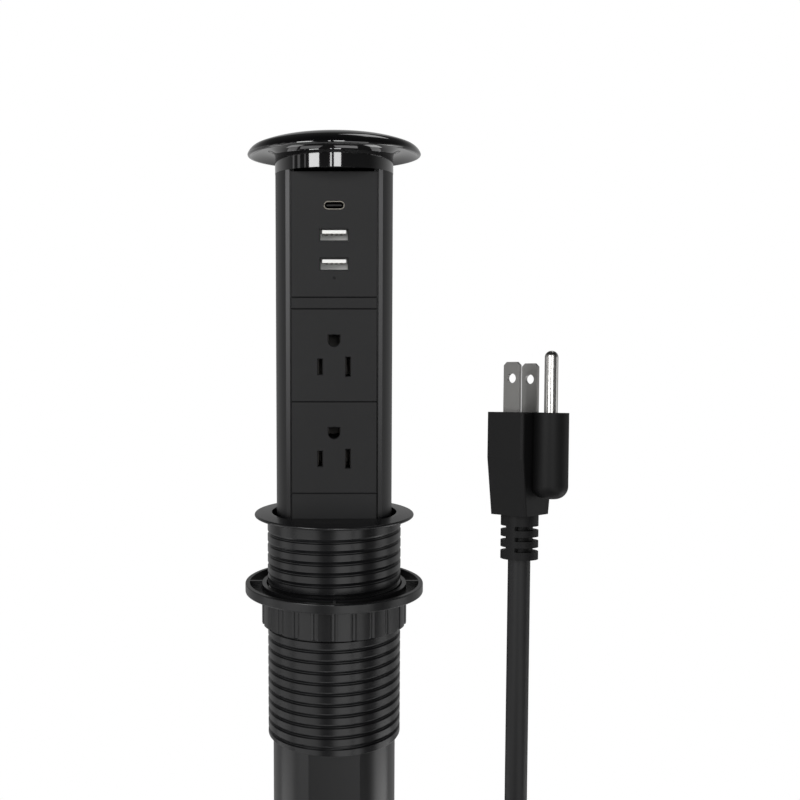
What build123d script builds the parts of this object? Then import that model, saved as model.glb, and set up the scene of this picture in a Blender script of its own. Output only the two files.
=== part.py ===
"""Pop up desk socket: a round tower with outlets and charging ports that rises out of a desk.

Frame: origin on the desk's top face at the centre of its hole, +Z up, front towards -Y.
The tower stands raised. All lengths are in millimetres.
"""
from build123d import *
import math
import os

os.makedirs("parts", exist_ok=True)

# Shared values
overrun = 1.0
flat_seam = 0.15
running_gap = 0.08
side_gap = 0.3
sheet_thickness = 0.8

# Tower, a round extrusion with a flat open front
tower_wall = 1.8
front_cut_depth = 9.3
strip_slant = 1.7
strip_width = 1.85
panel_side_gap = 0.55
panel_thickness = 2.8
ledge_width = 2.0
ledge_thickness = 1.6
port_radius = 3.2
port_inset = 0.4
port_angles = (90, 22, 158)
tower_foot_depth = 44.0

# Front panels, from the lowest up
blank_panel_top = 13.5
outlet_panel_height = 42.15
spacer_height = 5.2
usb_panel_height = 56.3
neck_seam = 0.6
panel_edge_break = 0.3

# Outlet in each of its two panels
blade_spacing = 12.7
ground_offset = 11.89
outlet_centre_drop = 5.1
line_slot_height = 7.0
neutral_slot_height = 8.65
slot_width = 2.1
slot_bevel = 0.35
ground_hole_radius = 2.65
ground_flat_rise = 2.46

# Charging ports, their places measured down from the top of their panel
usb_c_drop_share = 0.27
usb_a_drop_shares = (0.5027, 0.7353)
led_drop_share = 0.8455
usb_c_width = 9.3
usb_c_height = 3.7
usb_c_tongue_width = 6.7
usb_c_tongue_height = 0.7
usb_a_width = 13.1
usb_a_height = 5.7
usb_a_tongue_width = 10.8
usb_a_tongue_height = 1.5
usb_a_tongue_rise = 1.3
usb_a_contact_count = 4
usb_a_contact_pitch = 2.2
usb_a_contact_width = 1.0
usb_a_contact_thickness = 0.25
port_depth = 13.0
port_wall = 0.35
port_fit = 0.1
port_setback = 0.3
port_block_depth = 3.5
tongue_setback = 0.5
led_radius = 0.55

# Charger board behind the ports
board_side_inset = 2.5
board_end_inset = 2.15
board_thickness = 1.6
board_post_side_inset = 3.0
board_post_inset = 4.5
board_post_radius = 2.2
board_screw_radius = 1.0
transformer_width = 15.0
transformer_height = 16.0
transformer_depth = 13.0
transformer_rise = 10.0
transformer_coil_proud = 2.0
transformer_coil_depth = 8.0
capacitor_count = 3
capacitor_pitch = 8.0
capacitor_radius = 3.2
capacitor_length = 11.0
capacitor_drop = 8.0
chip_width = 3.0
chip_depth = 1.0
chip_pitch = 10.0
chip_drop = 17.0

# Insides of the outlets
housing_side_gap = 1.35
housing_end_gap = 4.075
housing_depth = 19.2
pocket_width = 3.4
ground_pocket_width = 6.8
ground_pocket_height = 6.2
contact_thickness = 0.6
contact_setback = 1.5
bar_width = 5.0
wire_radius = 1.2
wire_bend_radius = 4.0

# Cap with its finger rim and neck
neck_proud = 0.1
neck_height = 7.5
neck_flare = 3.5
neck_wall = 1.6
neck_floor = 2.6
cap_overlap = 2.2
cap_dome_rise = 8.9
cap_rim_drop = 1.8
cap_lip_drop = 2.9
cap_lip_inset = 1.4
cap_wall = 2.4
cap_spigot_height = 5.0
cap_ceiling_drop = 4.0
dome_shares = ((0.6, 0.8), (0.9, 0.436), (1, 0))
dish_shares = (0.5, 0.75)

# Desk sleeve with its collar flange and outside thread
flange_reach = 6.1
flange_thickness = 2.0
flange_edge_radius = 0.7
flange_slope = 0.5
flange_land = 1.35
opening_front_gap = 1.0
sleeve_wall = 2.05
sleeve_length = 105.0
thread_pitch = 5.0
thread_depth = 0.9
groove_root = 0.25
groove_lower_flank = 0.35
groove_upper_flank = 1.5
groove_first_depth = 3.16

# Guide tube below the desk
tube_radius = 29.35
tube_wall = 1.55
tube_flat_half_width = 11.8
tube_recess = 8.0
landing_gap = 0.4
stop_gap = 0.3
lead_room = 47.5
key_screw_inset = 8.0
key_screw_bite = 5.0

# Desk clamp
clamp_reach = 8.0
clamp_rim_width = 2.1
clamp_top_depth = 31.7
clamp_height = 4.4
clamp_floor = 1.2
clamp_hub_width = 2.0
clamp_hub_gap = 0.7
clamp_hub_drop = 0.3
clamp_rib_width = 1.3
clamp_rib_count = 4
clamp_edge_round = 0.5
nut_wall = 2.85
nut_height = 14.5
nut_bore_gap = 0.3
nut_thread_reach = 0.55
nut_groove_clearance = 0.25
flute_count = 24
flute_radius = 2.6
flute_depth = 0.7

# Foot of the tower and closed end of the tube
base_thickness = 6.0
base_proud = 0.2
base_spigot_height = 8.0
base_spigot_gap = 0.7
glide_width = 3.0
glide_depth = 1.4
bushing_wall = 3.5
bushing_lip = 1.5
end_cap_thickness = 3.0
end_cap_spigot = 6.0
end_cap_wall = 2.5
end_cap_screw_angles = (90, 210, 330)
screw_radius = 1.5
screw_bite = 8.0
screw_head_share = 1.75
screw_head_height_share = 0.9
screw_slot_share = 0.3

# Power cord, its gland and the coiled lead inside the tube
cord_diameter = 8.1
gland_thread_radius = 6.0
gland_flange_radius = 10.0
gland_flange_height = 4.0
gland_taper_radius = 7.4
gland_tip_radius = 5.4
gland_length = 24.0
gland_groove_count = 4
gland_groove_pitch = 4.0
gland_groove_width = 1.6
gland_groove_depth = 0.9
gland_nut_height = 4.0
lead_diameter = 6.5
lead_coil_radius = 16.0
lead_turns = 5

# Put-away coil of the power cord, and the free stretches on both sides of it.
# Each run of a free stretch has its length and its lean away from the vertical, in degrees.
coil_outer_radius = 53.5
coil_gap = 0.9
coil_whole_turns = 4
coil_samples = 700
tiny_turn = 1e-5
straight_share = 1e-9
straight_error = 1e-6
tie_bearing = 200
tie_width = 9.0
tie_gap = 0.5
tie_thickness = 1.6
tail_runs = ((34, 0), (36, 19), (33, 44), (36, 70), (31, 90))
rise_runs = ((104, 1.5), (80, 6), (50, 15), (38, 32), (33, 54), (30, 76), (28, 90))
plug_end_run = 60.0
corner_share = 0.45

# Plug, standing with its blades up and leaning back a little
plug_x = 67.2
plug_y = -116.8
plug_turn = 40.5
plug_lean = 5.0
plug_lean_bearing = 80.0
plug_face_height = 60.0
plug_block_across = 22.4
plug_block_along = 14.9
plug_waist_across = 16.8
plug_waist_along = 14.5
plug_shoulder_drop = 16.3
plug_block_height = 36.5
plug_edge_round = 1.2
boss_radius = 6.35
boss_height = 30.3
boss_end_round = 4.6
blade_width = 6.35
blade_thickness = 1.5
blade_length = 17.8
blade_chamfer = 1.2
blade_hole_radius = 1.75
blade_hole_rise = 12.0
blade_seat = 8.0
ground_pin_radius = 2.38
ground_pin_length = 21.8
ground_pin_root_step = 0.6
relief_length = 15.9
relief_radius = 6.7
relief_core_radius = 4.5
relief_collar_height = 4.0
relief_rib_height = 2.3
relief_rib_pitch = 3.8
relief_groove_count = 3
relief_bridge_width = 3.6

# Sizes worked out from these: the tower runs in the tube, and the sleeve goes round the tube
tube_bore = tube_radius - tube_wall
tube_flat = math.sqrt(tube_radius**2 - tube_flat_half_width**2)
bore_flat = tube_flat - tube_wall
base_radius = tube_bore - side_gap
base_front = bore_flat - side_gap
tower_radius = base_radius - base_proud
front_distance = tower_radius - front_cut_depth
shell_bore = tower_radius - tower_wall
ledge_y = -front_distance + panel_thickness
corner_y = -front_distance + strip_slant
corner_x = math.sqrt(tower_radius**2 - corner_y**2)
opening_half_width = corner_x - strip_width
panel_half_width = opening_half_width - panel_side_gap
board_width = 2 * (panel_half_width - board_side_inset)
board_height = usb_panel_height - 2 * board_end_inset
board_post_spread = board_width / 2 - board_post_side_inset
opening_radius = tube_radius + side_gap
opening_front = front_distance + opening_front_gap
sleeve_radius = opening_radius + sleeve_wall
flange_radius = sleeve_radius + flange_reach
flange_flat_radius = opening_radius + flange_land
clamp_bore = sleeve_radius + clamp_hub_gap
clamp_hub_radius = clamp_bore + clamp_hub_width
clamp_radius = clamp_hub_radius + clamp_reach
nut_radius = sleeve_radius + nut_wall
neck_radius = tower_radius + neck_proud
cap_radius = flange_radius + cap_overlap
cap_lip_radius = cap_radius - cap_lip_inset
base_spigot_radius = -ledge_y - base_spigot_gap
bushing_radius = base_spigot_radius - bushing_wall
ground_pin_root_radius = ground_pin_radius + ground_pin_root_step
screw_head_height = screw_head_height_share * screw_radius

# Heights worked out from these sizes
foot_z = -tower_foot_depth
lower_panel_z = blank_panel_top
upper_panel_z = lower_panel_z + outlet_panel_height
spacer_z = upper_panel_z + outlet_panel_height
usb_panel_z = spacer_z + spacer_height
usb_panel_top_z = usb_panel_z + usb_panel_height
tower_top_z = usb_panel_top_z + neck_seam
flare_z = tower_top_z + neck_height
cap_seat_z = flare_z + neck_flare
cap_rim_z = cap_seat_z - cap_rim_drop
cap_top_z = cap_rim_z + cap_dome_rise
base_bottom_z = foot_z - base_thickness
travel = tower_top_z - flange_thickness - landing_gap
end_cap_top_z = base_bottom_z - travel - lead_room
tube_bottom_z = end_cap_top_z - end_cap_spigot
end_cap_bottom_z = tube_bottom_z - end_cap_thickness
clamp_top_z = -clamp_top_depth
clamp_bottom_z = clamp_top_z - clamp_height
nut_top_z = clamp_bottom_z - flat_seam
nut_bottom_z = nut_top_z - nut_height


def save(builder, name):
    """Label a finished piece and write its file."""
    builder.part.label = name
    export_step(builder.part, f"parts/{name}.step")


def flat_fronted_disc(radius, flat_distance, low_z, high_z, mode=Mode.ADD):
    """A disc whose front is cut off flat."""
    with BuildSketch(Plane.XY.offset(low_z)) as outline:
        Circle(radius)
        with Locations((0, -flat_distance - radius)):
            Rectangle(2 * radius, 2 * radius, mode=Mode.SUBTRACT)
    extrude(outline.sketch, amount=high_z - low_z, mode=mode)


def front_plane(y):
    """Upright plane that faces the front, X to the right and Z up."""
    return Plane((0, y, 0), x_dir=(1, 0, 0), z_dir=(0, -1, 0))


def place_on_ring(radius, angle):
    """Point on a circle about the tower's axis."""
    return (radius * math.cos(math.radians(angle)), radius * math.sin(math.radians(angle)))


def radial_plane(radius, angle, z):
    """Upright plane that faces outwards at a place round the tower's axis."""
    x, y = place_on_ring(radius, angle)
    return Plane((x, y, z), x_dir=(-y, x, 0), z_dir=(x, y, 0))


def screw(seat, radius, length):
    """A screw with its head on a seat plane and its shank behind it."""
    head_radius = screw_head_share * radius
    head_height = screw_head_height_share * radius
    with BuildSketch(seat) as shank:
        Circle(radius)
    extrude(shank.sketch, amount=-length)
    with BuildSketch(seat) as head:
        Circle(head_radius)
    extrude(head.sketch, amount=head_height)
    with BuildSketch(seat.offset(head_height)) as recess:
        Rectangle(2 * radius, screw_slot_share * radius)
        Rectangle(screw_slot_share * radius, 2 * radius)
    extrude(recess.sketch, amount=-head_height / 2, mode=Mode.SUBTRACT)


def plug_axes():
    """The plug's own directions: towards its ground pin, across its blades, and along them."""
    lean = math.radians(plug_lean)
    bearing = math.radians(plug_lean_bearing)
    turn = math.radians(plug_turn)
    up = Vector(math.cos(bearing) * math.sin(lean), math.sin(bearing) * math.sin(lean), math.cos(lean))
    level = Vector(math.cos(turn), -math.sin(turn), 0)
    along = (level - up * level.dot(up)).normalized()
    return along, up.cross(along), up


def plug_point(along, across, rise):
    """Point of the plug, measured from the middle of its face in its own directions."""
    ways = plug_axes()
    return Vector(plug_x, plug_y, plug_face_height) + ways[0] * along + ways[1] * across + ways[2] * rise


def plug_plane(rise):
    """Plane across the plug at a height above its face, X towards its ground pin."""
    return Plane(plug_point(0, 0, rise), x_dir=plug_axes()[0], z_dir=plug_axes()[2])


def report_tube(name, tube, route, diameter):
    """Print a tube's length, and its volume as a share of section times length."""
    section = math.pi * diameter**2 / 4
    print(f"{name}: length {route.length:.1f}, volume share {tube.part.volume / (section * route.length):.4f}")


def biarc_points(start, start_way, end, end_way):
    """Joint and its direction for two arcs that join two points smoothly."""
    chord = end - start
    ways = start_way + end_way
    along = chord.dot(ways)
    turn = 2 * (1 - start_way.dot(end_way))
    if turn < straight_share:
        reach = chord.dot(chord) / (2 * along)
    else:
        reach = (-along + math.sqrt(along**2 + turn * chord.dot(chord))) / turn
    first = start + start_way * reach
    last = end - end_way * reach
    return (first + last) / 2, (last - first).normalized()


def add_biarcs(stations):
    """Draw smooth pairs of arcs through points with directions."""
    for (start, start_way), (end, end_way) in zip(stations[:-1], stations[1:]):
        chord = end - start
        if max(chord.cross(start_way).length, chord.cross(end_way).length) < straight_error:
            Line(start, end)
            continue
        joint, joint_way = biarc_points(start, start_way, end, end_way)
        TangentArc(start, joint, tangent=start_way)
        TangentArc(joint, end, tangent=joint_way)


port_places = [place_on_ring(shell_bore - port_radius + port_inset, angle) for angle in port_angles]


# Sleeve: collar flange, D opening and right-hand outside thread
with BuildPart() as threaded_sleeve:
    with BuildSketch(Plane.XZ):
        with BuildLine():
            edge_z = flange_thickness - flange_slope - flange_edge_radius
            edge_x = flange_radius - flange_edge_radius
            Polyline(
                (edge_x, edge_z - flange_edge_radius),
                (edge_x, 0),
                (sleeve_radius, 0),
                (sleeve_radius, -sleeve_length),
                (opening_radius, -sleeve_length),
                (opening_radius, flange_thickness),
                (flange_flat_radius, flange_thickness),
                (edge_x, edge_z + flange_edge_radius),
            )
            CenterArc((edge_x, edge_z), flange_edge_radius, -90, 180)
        make_face()
    revolve(axis=Axis.Z)
    with BuildSketch(Plane.XY):
        Circle(opening_radius + overrun)
        with Locations((0, opening_radius - opening_front)):
            Rectangle(4 * opening_radius, 2 * opening_radius, mode=Mode.SUBTRACT)
    extrude(amount=flange_thickness)
    groove_turns = math.ceil((sleeve_length - groove_first_depth) / thread_pitch) + 0.5
    groove_low_z = -groove_first_depth - groove_turns * thread_pitch
    with BuildLine() as groove_path:
        Helix(thread_pitch, groove_turns * thread_pitch, sleeve_radius, center=(0, 0, groove_low_z))
    with BuildSketch(Plane.XZ):
        with BuildLine():
            groove_bottom = sleeve_radius - thread_depth
            groove_mouth = sleeve_radius + overrun
            flank_run = overrun / thread_depth
            Polyline(
                (groove_bottom, groove_low_z + groove_root / 2),
                (groove_bottom, groove_low_z - groove_root / 2),
                (groove_mouth, groove_low_z - groove_root / 2 - groove_lower_flank * (1 + flank_run)),
                (groove_mouth, groove_low_z + groove_root / 2 + groove_upper_flank * (1 + flank_run)),
                close=True,
            )
        make_face()
    sweep(path=groove_path.line, is_frenet=True, mode=Mode.SUBTRACT)
save(threaded_sleeve, "threaded_sleeve")

# Guide tube below the desk, with its flat front land
key_screw_depths = (tube_recess + key_screw_inset, tower_foot_depth - key_screw_inset)
cap_screw_z = (tube_bottom_z + end_cap_top_z) / 2
with BuildPart() as guide_tube:
    flat_fronted_disc(tube_radius, tube_flat, tube_bottom_z, -tube_recess)
    flat_fronted_disc(tube_bore, bore_flat, tube_bottom_z, -tube_recess, mode=Mode.SUBTRACT)
    with BuildSketch(front_plane(-tube_radius)) as key_screw_holes:
        with Locations(*[(0, -depth) for depth in key_screw_depths]):
            Circle(screw_radius + running_gap)
    extrude(amount=-2 * tube_wall - tube_radius + tube_flat, mode=Mode.SUBTRACT)
    for angle in end_cap_screw_angles:
        with BuildSketch(radial_plane(tube_radius + overrun, angle, cap_screw_z)) as cap_screw_hole:
            Circle(screw_radius + running_gap)
        extrude(amount=-tube_wall - 2 * overrun, mode=Mode.SUBTRACT)
save(guide_tube, "guide_tube")

# Key block: keeps the tower's flat front forwards and stops it at the top
key_half_width = tube_flat_half_width - side_gap - tube_wall / 2
key_low_z = foot_z + stop_gap
with BuildPart() as guide_key:
    with BuildSketch(Plane.XY.offset(key_low_z)):
        with Locations((0, (-bore_flat - front_distance - side_gap) / 2)):
            Rectangle(2 * key_half_width, bore_flat - front_distance - side_gap)
    extrude(amount=-tube_recess - key_low_z)
    chamfer(guide_key.edges().group_by(Axis.Z)[-1], side_gap)
    with BuildSketch(front_plane(-bore_flat)):
        with Locations(*[(0, -depth) for depth in key_screw_depths]):
            Circle(screw_radius)
    extrude(amount=-key_screw_bite, mode=Mode.SUBTRACT)
save(guide_key, "guide_key")

with BuildPart() as key_screws:
    for depth in key_screw_depths:
        seat = Plane((0, -tube_flat, -depth), x_dir=(1, 0, 0), z_dir=(0, -1, 0))
        screw(seat, screw_radius, tube_wall + key_screw_bite)
save(key_screws, "key_screws")

# Closed end of the tube, with the gland for the power cord
with BuildPart() as end_cap:
    flat_fronted_disc(tube_radius, tube_flat, end_cap_bottom_z, tube_bottom_z)
    flat_fronted_disc(tube_bore - running_gap, bore_flat - running_gap, tube_bottom_z, end_cap_top_z)
    flat_fronted_disc(
        tube_bore - end_cap_wall, bore_flat - end_cap_wall, tube_bottom_z, end_cap_top_z, mode=Mode.SUBTRACT
    )
    chamfer(end_cap.edges().group_by(Axis.Z)[0], side_gap)
    with BuildSketch(Plane.XY.offset(end_cap_bottom_z)):
        Circle(gland_thread_radius + running_gap)
    extrude(amount=end_cap_thickness, mode=Mode.SUBTRACT)
    for angle in end_cap_screw_angles:
        with BuildSketch(radial_plane(tube_radius, angle, cap_screw_z)):
            Circle(screw_radius)
        extrude(amount=-tube_wall - end_cap_wall - overrun, mode=Mode.SUBTRACT)
save(end_cap, "end_cap")

with BuildPart() as end_cap_screws:
    for angle in end_cap_screw_angles:
        screw(radial_plane(tube_radius, angle, cap_screw_z), screw_radius, tube_wall + end_cap_wall)
save(end_cap_screws, "end_cap_screws")

gland_top_z = tube_bottom_z + gland_nut_height + side_gap
gland_tip_z = end_cap_bottom_z - gland_length
with BuildPart() as cord_gland:
    with BuildSketch(Plane.XZ):
        with BuildLine():
            Polyline(
                (0, gland_top_z),
                (gland_thread_radius, gland_top_z),
                (gland_thread_radius, end_cap_bottom_z),
                (gland_flange_radius, end_cap_bottom_z),
                (gland_flange_radius, end_cap_bottom_z - gland_flange_height),
                (gland_taper_radius, end_cap_bottom_z - gland_flange_height),
                (gland_tip_radius, gland_tip_z),
                (0, gland_tip_z),
                close=True,
            )
        make_face()
    revolve(axis=Axis.Z)
    for step in range(1, gland_groove_count + 1):
        groove_z = end_cap_bottom_z - gland_flange_height - step * gland_groove_pitch
        with BuildSketch(Plane.XY.offset(groove_z)):
            Circle(gland_flange_radius)
            Circle(gland_tip_radius - gland_groove_depth, mode=Mode.SUBTRACT)
        extrude(amount=-gland_groove_width, mode=Mode.SUBTRACT)
save(cord_gland, "cord_gland")

with BuildPart() as gland_nut:
    with BuildSketch(Plane.XY.offset(tube_bottom_z)):
        RegularPolygon(gland_flange_radius, 6)
        Circle(gland_thread_radius + running_gap, mode=Mode.SUBTRACT)
    extrude(amount=gland_nut_height)
save(gland_nut, "gland_nut")

# Clamp ring under the desk: rim, hub and ribs on a thin floor
with BuildPart() as clamp_ring:
    with BuildSketch(Plane.XY.offset(clamp_bottom_z)):
        Circle(clamp_radius)
        Circle(clamp_bore, mode=Mode.SUBTRACT)
    extrude(amount=clamp_height)
    with BuildSketch(Plane.XY.offset(clamp_bottom_z + clamp_floor)):
        Circle(clamp_radius - clamp_rim_width)
        Circle(clamp_hub_radius, mode=Mode.SUBTRACT)
        with PolarLocations((clamp_radius + clamp_hub_radius) / 2, clamp_rib_count):
            Rectangle(clamp_radius - clamp_bore, clamp_rib_width, mode=Mode.SUBTRACT)
    extrude(amount=clamp_height, mode=Mode.SUBTRACT)
    with BuildSketch(Plane.XY.offset(clamp_top_z - clamp_hub_drop)):
        Circle(clamp_hub_radius)
        Circle(clamp_bore, mode=Mode.SUBTRACT)
    extrude(amount=clamp_height, mode=Mode.SUBTRACT)
    rim_edges = clamp_ring.edges().filter_by(GeomType.CIRCLE).filter_by(
        lambda edge: abs(edge.radius - clamp_radius) < side_gap
    )
    fillet(rim_edges, clamp_edge_round)
save(clamp_ring, "clamp_ring")

# Fluted lock nut with the matching inside thread
groove_zero_z = -groove_first_depth - thread_pitch / 2
nut_steps = math.floor((groove_zero_z - nut_bottom_z - overrun) / thread_pitch)
ridge_low_z = groove_zero_z - nut_steps * thread_pitch
ridge_turns = math.floor(2 * (nut_top_z - overrun - ridge_low_z) / thread_pitch) / 2
upper_slope = groove_upper_flank / thread_depth
lower_slope = groove_lower_flank / thread_depth
upper_shift = nut_groove_clearance * math.sqrt(1 + upper_slope**2)
lower_shift = nut_groove_clearance * math.sqrt(1 + lower_slope**2)


def ridge_point(radius, side):
    """Point of the nut's ridge, held clear of the groove's upper (1) or lower (-1) flank."""
    out = radius - sleeve_radius + thread_depth
    if side > 0:
        return (radius, ridge_low_z + groove_root / 2 + out * upper_slope - upper_shift)
    return (radius, ridge_low_z - groove_root / 2 - out * lower_slope + lower_shift)


with BuildPart() as lock_nut:
    with BuildSketch(Plane.XY.offset(nut_bottom_z)):
        Circle(nut_radius)
        Circle(sleeve_radius + nut_bore_gap, mode=Mode.SUBTRACT)
        with PolarLocations(nut_radius + flute_radius - flute_depth, flute_count):
            Circle(flute_radius, mode=Mode.SUBTRACT)
    extrude(amount=nut_height)
    with BuildLine() as ridge_path:
        Helix(thread_pitch, ridge_turns * thread_pitch, sleeve_radius, center=(0, 0, ridge_low_z))
    ridge_tip = sleeve_radius - nut_thread_reach
    ridge_foot = sleeve_radius + nut_bore_gap + side_gap
    with BuildSketch(Plane.XZ):
        with BuildLine():
            Polyline(
                ridge_point(ridge_tip, 1),
                ridge_point(ridge_foot, 1),
                ridge_point(ridge_foot, -1),
                ridge_point(ridge_tip, -1),
                close=True,
            )
        make_face()
    sweep(path=ridge_path.line, is_frenet=True)
save(lock_nut, "lock_nut")

# Tower shell: round extrusion, ledges for the panels and three screw ports
with BuildPart() as tower_shell:
    with BuildSketch(Plane.XY.offset(foot_z)):
        with BuildLine():
            ledge_x = opening_half_width - ledge_width
            lip_y = ledge_y + ledge_thickness
            bore_x = math.sqrt(shell_bore**2 - lip_y**2)
            ThreePointArc((corner_x, corner_y), (0, tower_radius), (-corner_x, corner_y))
            Polyline(
                (-corner_x, corner_y),
                (-opening_half_width, -front_distance),
                (-opening_half_width, ledge_y),
                (-ledge_x, ledge_y),
                (-ledge_x, lip_y),
                (-bore_x, lip_y),
            )
            ThreePointArc((-bore_x, lip_y), (0, shell_bore), (bore_x, lip_y))
            Polyline(
                (bore_x, lip_y),
                (ledge_x, lip_y),
                (ledge_x, ledge_y),
                (opening_half_width, ledge_y),
                (opening_half_width, -front_distance),
                (corner_x, corner_y),
            )
        make_face()
        with Locations(*port_places):
            Circle(port_radius)
        with Locations(*port_places):
            Circle(screw_radius + running_gap, mode=Mode.SUBTRACT)
    extrude(amount=tower_top_z - foot_z)
save(tower_shell, "tower_shell")


def panel_plate(low_z, high_z):
    """A front panel between two heights, with its front edges broken."""
    height = high_z - low_z - flat_seam
    with BuildSketch(front_plane(-front_distance)) as outline:
        with Locations((0, (low_z + high_z) / 2)):
            Rectangle(2 * panel_half_width, height)
    extrude(outline.sketch, amount=-panel_thickness)


def break_front_edges(builder):
    """Chamfer the outer edges of a panel's front face."""
    front = builder.faces().sort_by(Axis.Y)[0]
    chamfer(front.outer_wire().edges(), panel_edge_break)


def bevel_openings(builder, size):
    """Bevel the openings in a panel's front face."""
    front = builder.faces().sort_by(Axis.Y)[0]
    chamfer([edge for wire in front.inner_wires() for edge in wire.edges()], size)


# Plain panels: one below the outlets and one above them
for name, low_z, high_z in (
    ("blank_panel", foot_z + flat_seam / 2, lower_panel_z),
    ("spacer_panel", spacer_z, usb_panel_z),
):
    with BuildPart() as plain_panel:
        panel_plate(low_z, high_z)
        break_front_edges(plain_panel)
    save(plain_panel, name)

# Outlet panels, each with a ground hole and two blade slots
for name, low_z in (("lower_outlet_face", lower_panel_z), ("upper_outlet_face", upper_panel_z)):
    blade_z = low_z + outlet_panel_height / 2 - outlet_centre_drop
    ground_z = blade_z + ground_offset
    with BuildPart() as outlet_face:
        panel_plate(low_z, low_z + outlet_panel_height)
        break_front_edges(outlet_face)
        with BuildSketch(front_plane(-front_distance)):
            with Locations((-blade_spacing / 2, blade_z)):
                Rectangle(slot_width, line_slot_height)
            with Locations((blade_spacing / 2, blade_z)):
                Rectangle(slot_width, neutral_slot_height)
            with Locations((0, ground_z)):
                Circle(ground_hole_radius)
            with Locations((0, ground_z + ground_flat_rise / 2)):
                Rectangle(2 * ground_hole_radius, ground_flat_rise)
        extrude(amount=-panel_thickness, mode=Mode.SUBTRACT)
        bevel_openings(outlet_face, slot_bevel)
    save(outlet_face, name)

# Charging panel with its port openings, light hole and posts for the board
usb_c_z = usb_panel_top_z - usb_c_drop_share * usb_panel_height
usb_a_zs = [usb_panel_top_z - share * usb_panel_height for share in usb_a_drop_shares]
led_z = usb_panel_top_z - led_drop_share * usb_panel_height
board_y = -front_distance + port_depth
post_places = [
    (side * board_post_spread, usb_panel_z + height)
    for side in (-1, 1)
    for height in (board_post_inset, usb_panel_height - board_post_inset)
]
with BuildPart() as usb_panel:
    panel_plate(usb_panel_z, usb_panel_top_z)
    break_front_edges(usb_panel)
    with BuildSketch(front_plane(-front_distance)):
        with Locations((0, usb_c_z)):
            SlotOverall(usb_c_width + 2 * port_fit, usb_c_height + 2 * port_fit)
        with Locations(*[(0, z) for z in usb_a_zs]):
            Rectangle(usb_a_width + 2 * port_fit, usb_a_height + 2 * port_fit)
        with Locations((0, led_z)):
            Circle(led_radius + running_gap)
    extrude(amount=-panel_thickness, mode=Mode.SUBTRACT)
    with BuildSketch(front_plane(ledge_y)):
        with Locations(*post_places):
            Circle(board_post_radius)
    extrude(amount=-(board_y - ledge_y))
    with BuildSketch(front_plane(ledge_y)):
        with Locations(*post_places):
            Circle(board_screw_radius)
    extrude(amount=-(board_y - ledge_y), mode=Mode.SUBTRACT)
save(usb_panel, "usb_panel")

# Charging ports
port_face_y = -front_distance + port_setback
with BuildPart() as usb_c_shell:
    with BuildSketch(front_plane(port_face_y)):
        with Locations((0, usb_c_z)):
            SlotOverall(usb_c_width, usb_c_height)
            SlotOverall(usb_c_width - 2 * port_wall, usb_c_height - 2 * port_wall, mode=Mode.SUBTRACT)
    extrude(amount=-(board_y - port_face_y))
save(usb_c_shell, "usb_c_shell")

with BuildPart() as usb_c_tongue:
    with BuildSketch(front_plane(port_face_y + tongue_setback)):
        with Locations((0, usb_c_z)):
            Rectangle(usb_c_tongue_width, usb_c_tongue_height)
    extrude(amount=-(board_y - port_face_y - tongue_setback))
    with BuildSketch(front_plane(board_y)):
        with Locations((0, usb_c_z)):
            SlotOverall(usb_c_width - 2 * port_wall, usb_c_height - 2 * port_wall)
    extrude(amount=port_block_depth)
save(usb_c_tongue, "usb_c_tongue")

with BuildPart() as usb_a_shells:
    with BuildSketch(front_plane(port_face_y)):
        with Locations(*[(0, z) for z in usb_a_zs]):
            Rectangle(usb_a_width, usb_a_height)
            Rectangle(usb_a_width - 2 * port_wall, usb_a_height - 2 * port_wall, mode=Mode.SUBTRACT)
    extrude(amount=-(board_y - port_face_y))
save(usb_a_shells, "usb_a_shells")

with BuildPart() as usb_a_tongues:
    with BuildSketch(front_plane(port_face_y + tongue_setback)):
        with Locations(*[(0, z + usb_a_tongue_rise) for z in usb_a_zs]):
            Rectangle(usb_a_tongue_width, usb_a_tongue_height)
    extrude(amount=-(board_y - port_face_y - tongue_setback))
    with BuildSketch(front_plane(board_y)):
        with Locations(*[(0, z) for z in usb_a_zs]):
            Rectangle(usb_a_width - 2 * port_wall, usb_a_height - 2 * port_wall)
    extrude(amount=port_block_depth)
save(usb_a_tongues, "usb_a_tongues")

contact_first_y = port_face_y + 2 * tongue_setback
with BuildPart() as usb_a_contacts:
    with BuildSketch(front_plane(contact_first_y)):
        for z in usb_a_zs:
            strip_z = z + usb_a_tongue_rise - usb_a_tongue_height / 2 - usb_a_contact_thickness / 2
            for place in range(usb_a_contact_count):
                with Locations(((place - (usb_a_contact_count - 1) / 2) * usb_a_contact_pitch, strip_z)):
                    Rectangle(usb_a_contact_width, usb_a_contact_thickness)
    extrude(amount=-(board_y - port_block_depth - contact_first_y))
save(usb_a_contacts, "usb_a_contacts")

with BuildPart() as led_light_pipe:
    with BuildSketch(front_plane(-front_distance)):
        with Locations((0, led_z)):
            Circle(led_radius)
    extrude(amount=-(board_y - chip_depth + front_distance))
    with BuildSketch(front_plane(board_y)):
        with Locations((0, led_z)):
            Rectangle(chip_width, chip_width)
    extrude(amount=chip_depth)
save(led_light_pipe, "led_light_pipe")

# Charger board behind the ports, with its parts on the back
board_back_y = board_y + board_thickness
board_centre_z = usb_panel_z + usb_panel_height / 2
with BuildPart() as usb_board:
    with BuildSketch(front_plane(board_y)):
        with Locations((0, board_centre_z)):
            Rectangle(board_width, board_height)
        with Locations(*post_places):
            Circle(board_screw_radius + running_gap, mode=Mode.SUBTRACT)
    extrude(amount=-board_thickness)
save(usb_board, "usb_board")

with BuildPart() as board_screws:
    for x, z in post_places:
        seat = Plane((x, board_back_y, z), x_dir=(-1, 0, 0), z_dir=(0, 1, 0))
        screw(seat, board_screw_radius, 3 * board_thickness)
save(board_screws, "board_screws")

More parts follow.
